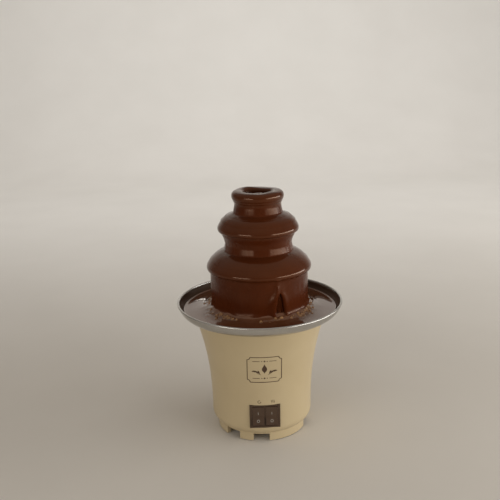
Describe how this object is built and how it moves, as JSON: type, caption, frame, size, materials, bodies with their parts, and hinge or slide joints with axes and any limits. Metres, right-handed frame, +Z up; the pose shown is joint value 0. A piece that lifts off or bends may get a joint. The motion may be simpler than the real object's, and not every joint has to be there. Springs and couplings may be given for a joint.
{
  "type": "chocolate fountain",
  "caption": "Table chocolate fountain with a cream flared housing, steel bowl, auger-fed tiered tower under running chocolate and twin rocker switches.",
  "frame": {"origin": "on the floor, under the tower's axis", "axes": "+Z up along the tower's axis, -Y towards the switches, +X to the right as seen from the front"},
  "size_m": [0.164, 0.164, 0.2444],
  "materials": {
    "cream_plastic": "satin",
    "brown_plastic": "satin",
    "steel": "brushed",
    "zinc": "zinc plated",
    "brass": "turned",
    "rubber": "matte",
    "white_nylon": "matte",
    "black_plastic": "matte",
    "mica": "matte",
    "copper": "varnished wire",
    "magnet": "matte",
    "chocolate": "wet"
  },
  "bodies": {
    "base": {"housing": "cream_plastic", "base_plate": "cream_plastic", "foot_pads": "rubber", "base_screws": "zinc", "cord_gland": "black_plastic", "switch_frame": "brown_plastic", "switch_terminals": "brass", "bowl": "steel", "bowl_studs": "zinc", "bowl_nuts": "zinc", "tower_pins": "steel", "bowl_bush": "brass", "bush_nut": "brass", "shaft_seal": "rubber", "heater_ring": "mica", "heater_clamp": "zinc", "heater_nuts": "zinc", "thermostat": "zinc", "gear_cover": "white_nylon", "gear_case": "white_nylon", "hang_screws": "zinc", "lower_bush": "brass", "idler_axle": "steel", "motor_can": "zinc", "motor_magnets": "magnet", "motor_cap": "black_plastic", "motor_terminals": "brass", "motor_screws": "zinc", "chocolate_pool": "chocolate"},
    "drive": {"drive_shaft": "steel", "output_gear": "white_nylon"},
    "idler": {"idler_gear": "white_nylon"},
    "rotor": {"motor_shaft": "steel", "armature": "copper", "motor_pinion": "brass"},
    "auger": {"auger": "white_nylon"},
    "tower": {"tower_tube": "brown_plastic", "lower_canopy": "brown_plastic", "upper_canopy": "brown_plastic", "crown": "brown_plastic", "crown_coat": "chocolate", "upper_coat": "chocolate", "lower_coat": "chocolate"},
    "motor_switch": {"motor_rocker": "brown_plastic"},
    "heat_switch": {"heat_rocker": "brown_plastic"}
  },
  "joints": [
    {"name": "drive_spin", "type": "hinge", "parent": "base", "child": "drive", "pos_m": [0, 0, 0.0834], "axis": [0, 0, 1], "continuous": true},
    {"name": "idler_spin", "type": "hinge", "parent": "base", "child": "idler", "pos_m": [-0.01534, 0.01534, 0.0724], "axis": [0, 0, 1], "continuous": true},
    {"name": "rotor_spin", "type": "hinge", "parent": "base", "child": "rotor", "pos_m": [-0.01534, -0.00426, 0.0484], "axis": [0, 0, 1], "continuous": true},
    {"name": "auger_lift", "type": "slide", "parent": "drive", "child": "auger", "axis": [0, 0, 1], "range_m": [0, 0.1435]},
    {"name": "tower_lift", "type": "slide", "parent": "base", "child": "tower", "axis": [0, 0, 1], "range_m": [0, 0.1355]},
    {"name": "motor_switch_rock", "type": "hinge", "parent": "base", "child": "motor_switch", "pos_m": [-0.0066, -0.0469, 0.03], "axis": [1, 0, 0], "range_deg": [0, 18]},
    {"name": "heat_switch_rock", "type": "hinge", "parent": "base", "child": "heat_switch", "pos_m": [0.0066, -0.0469, 0.03], "axis": [1, 0, 0], "range_deg": [0, 18]}
  ],
  "couplings": [
    {"joint": "idler_spin", "follows": "rotor_spin", "ratio": -0.33333},
    {"joint": "drive_spin", "follows": "rotor_spin", "ratio": 0.097222}
  ]
}
